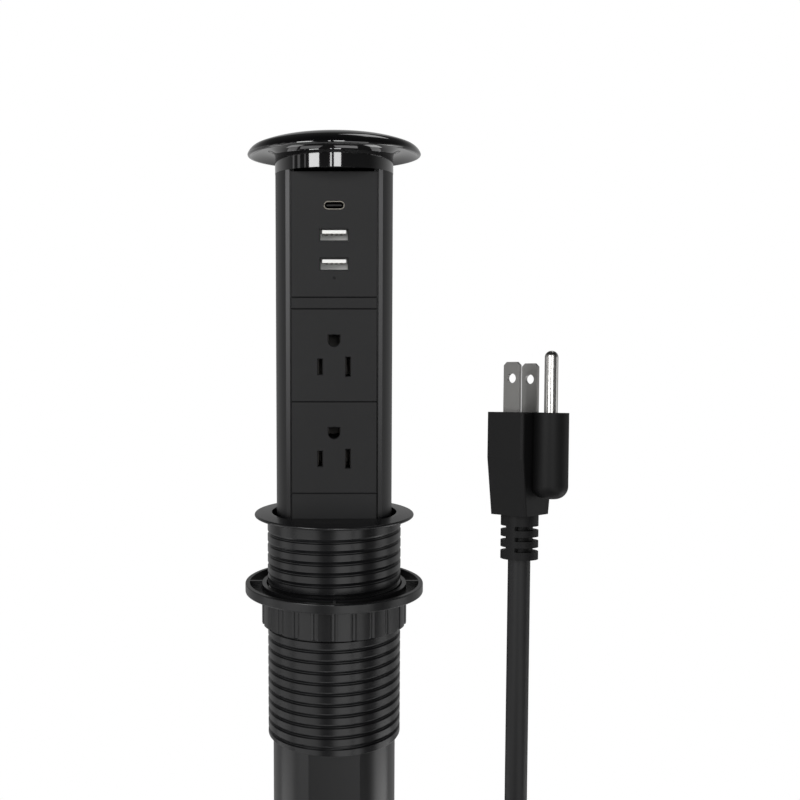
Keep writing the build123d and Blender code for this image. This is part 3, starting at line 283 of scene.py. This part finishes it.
GRAIN_DETAIL = 3
DRIFT_DETAIL = 4
DRIFT_SCALE = 30
NOISE_MIDDLE = 0.5
COLOUR_DRIFT = 0.5
COAT_ROUGHNESS = 0.05
GRAIN_HEIGHT = 0.00005
EVEN_GRAIN = (1, 1, 1)
DRAWN_GRAIN = (1, 1, 0.02)


def blank_material(name):
    """A material with nothing in it but its output."""
    material = bpy.data.materials.new(name)
    material.use_nodes = True
    material.node_tree.nodes.clear()
    material.node_tree.nodes.new("ShaderNodeOutputMaterial")
    return material


def sockets(group, direction, kind, *labels):
    """Named inputs or outputs of a node group, all of one kind."""
    for label in labels:
        group.interface.new_socket(label, in_out=direction, socket_type=f"NodeSocket{kind}")


def grain_group():
    """Moulding grain: a fine height, and a slow drift of gloss and colour, from object coordinates."""
    group = bpy.data.node_groups.new("moulding_grain", "ShaderNodeTree")
    sockets(group, "INPUT", "Color", "Colour")
    sockets(group, "INPUT", "Float", "Colour Drift")
    sockets(group, "INPUT", "Vector", "Stretch")
    sockets(group, "INPUT", "Float", "Grain Scale", "Drift Scale", "Gloss", "Gloss Drift")
    sockets(group, "OUTPUT", "Color", "Colour")
    sockets(group, "OUTPUT", "Float", "Height", "Roughness")
    new = group.nodes.new
    link = group.links.new
    inputs = new("NodeGroupInput")
    outputs = new("NodeGroupOutput")
    place = new("ShaderNodeTexCoord")

    drawn = new("ShaderNodeVectorMath")
    drawn.operation = "MULTIPLY"
    link(place.outputs["Object"], drawn.inputs[0])
    link(inputs.outputs["Stretch"], drawn.inputs[1])
    grain = new("ShaderNodeTexNoise")
    grain.inputs["Detail"].default_value = GRAIN_DETAIL
    link(drawn.outputs[0], grain.inputs["Vector"])
    link(inputs.outputs["Grain Scale"], grain.inputs["Scale"])
    link(grain.outputs["Fac"], outputs.inputs["Height"])

    drift = new("ShaderNodeTexNoise")
    drift.inputs["Detail"].default_value = DRIFT_DETAIL
    link(place.outputs["Object"], drift.inputs["Vector"])
    link(inputs.outputs["Drift Scale"], drift.inputs["Scale"])
    centred = new("ShaderNodeMath")
    centred.operation = "SUBTRACT"
    centred.inputs[1].default_value = NOISE_MIDDLE
    link(drift.outputs["Fac"], centred.inputs[0])

    roughness = new("ShaderNodeMath")
    roughness.operation = "MULTIPLY_ADD"
    link(centred.outputs[0], roughness.inputs[0])
    link(inputs.outputs["Gloss Drift"], roughness.inputs[1])
    link(inputs.outputs["Gloss"], roughness.inputs[2])
    link(roughness.outputs[0], outputs.inputs["Roughness"])

    mottle = new("ShaderNodeMath")
    mottle.operation = "MULTIPLY_ADD"
    mottle.inputs[2].default_value = 1
    link(centred.outputs[0], mottle.inputs[0])
    link(inputs.outputs["Colour Drift"], mottle.inputs[1])
    shade = new("ShaderNodeVectorMath")
    shade.operation = "SCALE"
    link(inputs.outputs["Colour"], shade.inputs[0])
    link(mottle.outputs[0], shade.inputs["Scale"])
    link(shade.outputs[0], outputs.inputs["Colour"])
    return group


def band_group():
    """A mask that follows the part's own place: a box in object coordinates, soft at its sides."""
    group = bpy.data.node_groups.new("place_band", "ShaderNodeTree")
    sockets(group, "INPUT", "Vector", "Low", "High", "Softness")
    sockets(group, "OUTPUT", "Float", "Mask")
    new = group.nodes.new
    link = group.links.new
    inputs = new("NodeGroupInput")
    outputs = new("NodeGroupOutput")
    place = new("ShaderNodeTexCoord").outputs["Object"]
    sides = []
    for inner, outer in ((place, inputs.outputs["Low"]), (inputs.outputs["High"], place)):
        gap = new("ShaderNodeVectorMath")
        gap.operation = "SUBTRACT"
        link(inner, gap.inputs[0])
        link(outer, gap.inputs[1])
        share = new("ShaderNodeVectorMath")
        share.operation = "DIVIDE"
        link(gap.outputs[0], share.inputs[0])
        link(inputs.outputs["Softness"], share.inputs[1])
        split = new("ShaderNodeSeparateXYZ")
        link(share.outputs[0], split.inputs[0])
        sides += [split.outputs["X"], split.outputs["Y"], split.outputs["Z"]]
    least = sides[0]
    for side in sides[1:]:
        lower = new("ShaderNodeMath")
        lower.operation = "MINIMUM"
        link(least, lower.inputs[0])
        link(side, lower.inputs[1])
        least = lower.outputs[0]
    mask = new("ShaderNodeClamp")
    link(least, mask.inputs["Value"])
    link(mask.outputs[0], outputs.inputs["Mask"])
    return group


MOULDING_GRAIN = grain_group()
PLACE_BAND = band_group()


def moulded(
    name,
    colour,
    gloss,
    gloss_drift,
    grain_scale,
    grain_depth,
    coat=0.0,
    metallic=0.0,
    specular=0.5,
    stretch=EVEN_GRAIN,
):
    """Moulded plastic or metal with its own grain, which a drawn or brushed finish has in upright lines."""
    material = blank_material(name)
    tree = material.node_tree
    shader = tree.nodes.new("ShaderNodeBsdfPrincipled")
    shader.inputs["Base Color"].default_value = (*colour, 1)
    shader.inputs["Metallic"].default_value = metallic
    shader.inputs["Coat Weight"].default_value = coat
    shader.inputs["Coat Roughness"].default_value = COAT_ROUGHNESS
    shader.inputs["Specular IOR Level"].default_value = specular
    grain = tree.nodes.new("ShaderNodeGroup")
    grain.node_tree = MOULDING_GRAIN
    grain.inputs["Colour"].default_value = (*colour, 1)
    grain.inputs["Colour Drift"].default_value = COLOUR_DRIFT
    grain.inputs["Stretch"].default_value = stretch
    grain.inputs["Grain Scale"].default_value = grain_scale
    grain.inputs["Drift Scale"].default_value = DRIFT_SCALE
    grain.inputs["Gloss"].default_value = gloss
    grain.inputs["Gloss Drift"].default_value = gloss_drift
    bump = tree.nodes.new("ShaderNodeBump")
    bump.inputs["Strength"].default_value = grain_depth
    bump.inputs["Distance"].default_value = GRAIN_HEIGHT
    tree.links.new(grain.outputs["Colour"], shader.inputs["Base Color"])
    tree.links.new(grain.outputs["Height"], bump.inputs["Height"])
    tree.links.new(grain.outputs["Roughness"], shader.inputs["Roughness"])
    tree.links.new(bump.outputs["Normal"], shader.inputs["Normal"])
    tree.links.new(shader.outputs[0], tree.nodes["Material Output"].inputs[0])
    return material


def add_band(material, low, high, softness, colour):
    """Another colour on one part of a piece, inside a box of object coordinates."""
    tree = material.node_tree
    shader = tree.nodes["Principled BSDF"]
    before = shader.inputs["Base Color"].links[0].from_socket
    band = tree.nodes.new("ShaderNodeGroup")
    band.node_tree = PLACE_BAND
    band.inputs["Low"].default_value = low
    band.inputs["High"].default_value = high
    band.inputs["Softness"].default_value = softness
    mix = tree.nodes.new("ShaderNodeMix")
    mix.data_type = "RGBA"
    mix.inputs["B"].default_value = (*colour, 1)
    tree.links.new(band.outputs["Mask"], mix.inputs["Factor"])
    tree.links.new(before, mix.inputs["A"])
    tree.links.new(mix.outputs["Result"], shader.inputs["Base Color"])


# Each row: name, colour, roughness, how far that drifts, grain scale, grain depth, and what else it has.
FINISH_ROWS = [
    ("gloss_black", (0.003, 0.003, 0.0033), 0.06, 0.02, 900, 0.01, {"coat": 1.0, "specular": 0.9}),
    ("collar_black", (0.006, 0.006, 0.0065), 0.26, 0.05, 2500, 0.15, {}),
    ("housing_black", (0.006, 0.006, 0.0065), 0.30, 0.06, 2200, 0.2, {}),
    ("shell_black", (0.006, 0.006, 0.0065), 0.34, 0.03, 2600, 0.3, {"specular": 0.4, "stretch": DRAWN_GRAIN}),
    ("panel_black", (0.013, 0.013, 0.0135), 0.55, 0.04, 3200, 0.4, {"specular": 0.25}),
    ("plug_black", (0.004, 0.004, 0.0042), 0.5, 0.06, 2400, 0.25, {"specular": 0.2}),
    ("cord_jacket", (0.007, 0.007, 0.0075), 0.48, 0.06, 2600, 0.3, {"specular": 0.35}),
    ("inner_black", (0.004, 0.004, 0.004), 0.5, 0.06, 2000, 0.3, {"specular": 0.3}),
    ("spring_bronze", (0.02, 0.014, 0.008), 0.5, 0.06, 2500, 0.2, {}),
    ("glide_white", (0.75, 0.75, 0.72), 0.45, 0.05, 2000, 0.3, {}),
    ("port_white", (0.82, 0.82, 0.80), 0.4, 0.04, 2500, 0.2, {}),
    ("board_green", (0.03, 0.16, 0.07), 0.3, 0.05, 1500, 0.2, {}),
    ("coil_yellow", (0.7, 0.5, 0.08), 0.35, 0.05, 1500, 0.2, {}),
    ("pilot_clear", (0.002, 0.002, 0.002), 0.5, 0.02, 2000, 0.1, {"specular": 0.2}),
    ("nickel", (0.63, 0.62, 0.60), 0.26, 0.04, 3000, 0.02, {"metallic": 1.0}),
    ("steel", (0.55, 0.55, 0.55), 0.3, 0.06, 3000, 0.2, {"metallic": 1.0}),
    ("port_steel", (0.30, 0.30, 0.30), 0.35, 0.06, 3000, 0.2, {"metallic": 1.0}),
    ("port_bronze", (0.16, 0.15, 0.13), 0.4, 0.06, 3000, 0.2, {"metallic": 1.0}),
    ("blade_nickel", (0.36, 0.355, 0.345), 0.3, 0.06, 2600, 0.25, {"metallic": 1.0, "stretch": DRAWN_GRAIN}),
    ("contact_grey", (0.20, 0.19, 0.17), 0.35, 0.06, 3000, 0.2, {"metallic": 1.0}),
    ("strap_weave", (0.008, 0.008, 0.0085), 0.75, 0.06, 1400, 0.9, {"specular": 0.2}),
    ("aluminium", (0.7, 0.7, 0.72), 0.3, 0.05, 2500, 0.2, {"metallic": 1.0}),
]
PIECES_BY_FINISH = {
    "gloss_black": ["cap_dome", "cap_neck"],
    "collar_black": ["threaded_sleeve"],
    "housing_black": ["clamp_ring", "lock_nut", "guide_tube", "end_cap", "cord_gland"],
    "shell_black": ["tower_shell"],
    "panel_black": ["usb_panel", "spacer_panel", "upper_outlet_face", "lower_outlet_face", "blank_panel"],
    "plug_black": ["plug_strain_relief", "plug_body"],
    "cord_jacket": ["feed_wires", "charger_wires"],
    "inner_black": [
        "gland_nut",
        "tower_base",
        "lead_bushing",
        "outlet_housings",
        "usb_c_tongue",
        "rectifier_chips",
    ],
    "spring_bronze": [
        "line_contacts",
        "neutral_contacts",
        "ground_contacts",
        "line_busbar",
        "neutral_busbar",
        "ground_busbar",
    ],
    "glide_white": ["guide_key", "glide_ring"],
    "port_white": ["usb_a_tongues"],
    "board_green": ["usb_board"],
    "coil_yellow": ["transformer"],
    "pilot_clear": ["led_light_pipe"],
    "nickel": ["ground_pin"],
    "steel": ["key_screws", "end_cap_screws", "cap_screws", "base_screws", "board_screws"],
    "port_steel": ["usb_a_shells"],
    "port_bronze": ["usb_c_shell"],
    "blade_nickel": ["line_blade", "neutral_blade"],
    "contact_grey": ["usb_a_contacts"],
    "aluminium": ["capacitors"],
}
finishes = {row[0]: moulded(*row[:-1], **row[-1]) for row in FINISH_ROWS}
for finish, names in PIECES_BY_FINISH.items():
    for name in names:
        nodes[name].data.materials.clear()
        nodes[name].data.materials.append(finishes[finish])
cord.data.materials.append(finishes["cord_jacket"])
lead.data.materials.append(finishes["cord_jacket"])
strap.data.materials.append(finishes["strap_weave"])

# Two bands of painted light in the colour: a painted highlight and a painted shade. Their boxes reach past
# the piece wherever they have no side on it.

SHARP_SIDE = 0.0001
PAST_FRONT = 0.001
PAST_SIDES = 0.01
PAST_TOP = 0.2
STRIP_FOOT = 0.015
STRIP_FADE = 0.135
STRIP_DEPTH = 0.0018
# Painted highlight colour of the slanted shell edges, fading out towards their foot.
STRIP_HIGHLIGHT_COLOUR = (0.11, 0.11, 0.112)
RIM_DEPTH = 0.0003
# Painted shade colour on the front rims of the USB-A port shells.
RIM_SHADE_COLOUR = (0.018, 0.018, 0.018)


def painted_highlight_strips():
    """Painted highlight on the slanted edges beside the panels, which are paler towards the top: the sheen of
    the lamps painted into their colour.
    """
    low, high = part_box("tower_shell")
    add_band(
        finishes["shell_black"],
        (low[0] - PAST_SIDES, low[1] - PAST_FRONT, STRIP_FOOT),
        (high[0] + PAST_SIDES, low[1] + STRIP_DEPTH, high[2] + PAST_TOP),
        (SHARP_SIDE, SHARP_SIDE, STRIP_FADE),
        STRIP_HIGHLIGHT_COLOUR,
    )


def painted_shade_port_rims():
    """Painted shade on the front rims of the two larger ports, darkened in the colour of their metal shells.
    """
    low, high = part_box("usb_a_shells")
    add_band(
        finishes["port_steel"],
        (low[0] - PAST_SIDES, low[1] - PAST_FRONT, low[2] - PAST_SIDES),
        (high[0] + PAST_SIDES, low[1] + RIM_DEPTH, high[2] + PAST_SIDES),
        (SHARP_SIDE, SHARP_SIDE, SHARP_SIDE),
        RIM_SHADE_COLOUR,
    )


painted_highlight_strips()
painted_shade_port_rims()

# Studio

WORLD_SEEN = 1.0
WORLD_LIGHT = 0.3
SURROUND_RADIUS = 2.2
SURROUND_SEGMENTS = 64
SURROUND_RINGS = 32
TONE_BEHIND = (-0.8, 1.6, 0.05, 0.38)
TONE_ABOVE = (0.5, 1.6, 1.0, 0.1)
FLOOR_X = 0.05
FLOOR_Z = COIL_FLOOR - CORD_DIAMETER / 2
FLOOR_RADIUS = 0.9
FLOOR_SIDES = 96
FLOOR_FADE = (0.12, 0.40)
FLOOR_COLOUR = (0.9, 0.9, 0.9, 1)
FLOOR_LIFT = 0.3


def looking_rays(tree):
    """1 on rays that look, straight, in a mirror or through glass, and 0 on the rays that give light."""
    path = tree.nodes.new("ShaderNodeLightPath")
    looking = path.outputs["Is Camera Ray"]
    for ray in ("Is Glossy Ray", "Is Transmission Ray"):
        either = tree.nodes.new("ShaderNodeMath")
        either.operation = "MAXIMUM"
        tree.links.new(looking, either.inputs[0])
        tree.links.new(path.outputs[ray], either.inputs[1])
        looking = either.outputs[0]
    return looking


def smooth_fade(tree, value, start, end, low=0.0, high=1.0):
    """A soft change from low to high as a value goes from start to end."""
    fade = tree.nodes.new("ShaderNodeMapRange")
    fade.interpolation_type = "SMOOTHSTEP"
    fade.inputs["From Min"].default_value = start
    fade.inputs["From Max"].default_value = end
    fade.inputs["To Min"].default_value = low
    fade.inputs["To Max"].default_value = high
    tree.links.new(value, fade.inputs["Value"])
    return fade.outputs[0]


def white_world():
    """A plain white surround, softer for the light that it gives."""
    world = bpy.data.worlds.new("white_surround")
    scene.world = world
    world.use_nodes = True
    tree = world.node_tree
    tree.nodes.clear()
    output = tree.nodes.new("ShaderNodeOutputWorld")
    mix = tree.nodes.new("ShaderNodeMixShader")
    tree.links.new(looking_rays(tree), mix.inputs[0])
    for place, strength in ((1, WORLD_LIGHT), (2, WORLD_SEEN)):
        background = tree.nodes.new("ShaderNodeBackground")
        background.inputs["Color"].default_value = (1, 1, 1, 1)
        background.inputs["Strength"].default_value = strength
        tree.links.new(background.outputs[0], mix.inputs[place])
    tree.links.new(mix.outputs[0], output.inputs[0])


def mirror_surround():
    """What shiny faces see round the studio: paler behind the part, dark at the front and above."""
    bpy.ops.object.select_all(action="DESELECT")
    bpy.ops.mesh.primitive_uv_sphere_add(
        segments=SURROUND_SEGMENTS, ring_count=SURROUND_RINGS, radius=SURROUND_RADIUS, location=(0, 0, 0)
    )
    surround = bpy.context.object
    surround.name = "mirror_surround"
    material = blank_material("surround_tones")
    tree = material.node_tree
    place = tree.nodes.new("ShaderNodeTexCoord")
    split = tree.nodes.new("ShaderNodeSeparateXYZ")
    tree.links.new(place.outputs["Object"], split.inputs[0])
    strength = tree.nodes.new("ShaderNodeMath")
    strength.operation = "MULTIPLY"
    tree.links.new(smooth_fade(tree, split.outputs["Y"], *TONE_BEHIND), strength.inputs[0])
    tree.links.new(smooth_fade(tree, split.outputs["Z"], *TONE_ABOVE), strength.inputs[1])
    glow = tree.nodes.new("ShaderNodeEmission")
    tree.links.new(strength.outputs[0], glow.inputs["Strength"])
    tree.links.new(glow.outputs[0], tree.nodes["Material Output"].inputs[0])
    surround.data.materials.append(material)
    surround.visible_camera = False
    surround.visible_diffuse = False
    surround.visible_shadow = False
    surround.visible_transmission = False
    surround.visible_volume_scatter = False


def pale_floor():
    """A round pale floor under the coil that fades out into the white surround."""
    bpy.ops.object.select_all(action="DESELECT")
    bpy.ops.mesh.primitive_circle_add(
        vertices=FLOOR_SIDES, radius=FLOOR_RADIUS, fill_type="NGON", location=(FLOOR_X, 0, FLOOR_Z)
    )
    floor = bpy.context.object
    floor.name = "floor"
    bpy.ops.object.transform_apply(location=True, rotation=True, scale=True)
    material = blank_material("floor_white")
    tree = material.node_tree

    shader = tree.nodes.new("ShaderNodeBsdfDiffuse")
    shader.inputs["Color"].default_value = FLOOR_COLOUR
    lift = tree.nodes.new("ShaderNodeMath")
    lift.operation = "MULTIPLY"
    lift.inputs[1].default_value = FLOOR_LIFT
    glow = tree.nodes.new("ShaderNodeEmission")
    both = tree.nodes.new("ShaderNodeAddShader")
    tree.links.new(looking_rays(tree), lift.inputs[0])
    tree.links.new(lift.outputs[0], glow.inputs["Strength"])
    tree.links.new(shader.outputs[0], both.inputs[0])
    tree.links.new(glow.outputs[0], both.inputs[1])

    place = tree.nodes.new("ShaderNodeTexCoord")
    centre = tree.nodes.new("ShaderNodeMapping")
    centre.inputs["Location"].default_value = (-FLOOR_X, 0, -FLOOR_Z)
    length = tree.nodes.new("ShaderNodeVectorMath")
    length.operation = "LENGTH"
    tree.links.new(place.outputs["Object"], centre.inputs["Vector"])
    tree.links.new(centre.outputs[0], length.inputs[0])

    clear = tree.nodes.new("ShaderNodeBsdfTransparent")
    mix = tree.nodes.new("ShaderNodeMixShader")
    tree.links.new(smooth_fade(tree, length.outputs["Value"], *FLOOR_FADE), mix.inputs[0])
    tree.links.new(both.outputs[0], mix.inputs[1])
    tree.links.new(clear.outputs[0], mix.inputs[2])
    tree.links.new(mix.outputs[0], tree.nodes["Material Output"].inputs[0])
    floor.data.materials.append(material)


# Each row: name, azimuth and elevation in degrees, distance, width, height, watts, aim, and whether gloss
# mirrors the lamp. Azimuth 0 is behind the camera, positive to the right.
TOWER = (0, 0, 0.03)
TUBE = (0, 0, -0.15)
LAMP_ROWS = [
    ("strip_left", -38.5, 18, 1.6, 0.55, 0.9, 9.4, TOWER, True),
    ("strip_centre", 6.2, 18, 1.6, 0.36, 0.9, 6.0, TOWER, True),
    ("strip_centre_edge", -6, 18, 1.6, 0.08, 0.9, 1.2, TOWER, True),
    ("streak_1", -57, 18, 1.6, 0.08, 0.9, 0.12, TOWER, True),
    ("streak_2", -71, 18, 1.6, 0.16, 0.9, 0.24, TOWER, True),
    ("streak_3", -84, 18, 1.6, 0.12, 0.9, 0.18, TOWER, True),
    ("fill_left", -48, -20, 1.6, 1.25, 0.95, 3.4, TOWER, True),
    ("fill_right", 24, -20, 1.6, 1.25, 0.95, 5.0, TOWER, True),
    ("side_left", -88, -8, 1.6, 0.7, 0.85, 1.4, TOWER, True),
    ("side_right", 88, -8, 1.6, 0.7, 0.85, 1.6, TOWER, True),
    ("low_left", -98, -34, 1.6, 0.9, 0.7, 2.6, TUBE, True),
    ("low_right", 98, -34, 1.6, 0.9, 0.7, 4.6, TUBE, True),
    ("overhead", 0, 88, 1.4, 1.0, 1.0, 3.0, TOWER, False),
    ("top_glint", 150, 62, 1.6, 0.5, 0.5, 0.9, TOWER, True),
]


def softbox(name, azimuth, elevation, distance, width, height, power, aim, mirrored):
    """A rectangular lamp aimed at a place on the socket's axis."""
    lamp = bpy.data.lights.new(name, "AREA")
    lamp.shape = "RECTANGLE"
    lamp.size = width
    lamp.size_y = height
    lamp.energy = power
    holder = bpy.data.objects.new(name, lamp)
    scene.collection.objects.link(holder)
    turn = math.radians(azimuth)
    rise = math.radians(elevation)
    away = Vector((math.sin(turn) * math.cos(rise), -math.cos(turn) * math.cos(rise), math.sin(rise)))
    holder.location = Vector(aim) + away * distance
    holder.rotation_euler = away.to_track_quat("Z", "Y").to_euler()
    holder.visible_glossy = mirrored


white_world()
mirror_surround()
pale_floor()
for row in LAMP_ROWS:
    softbox(*row)

bpy.context.view_layer.update()
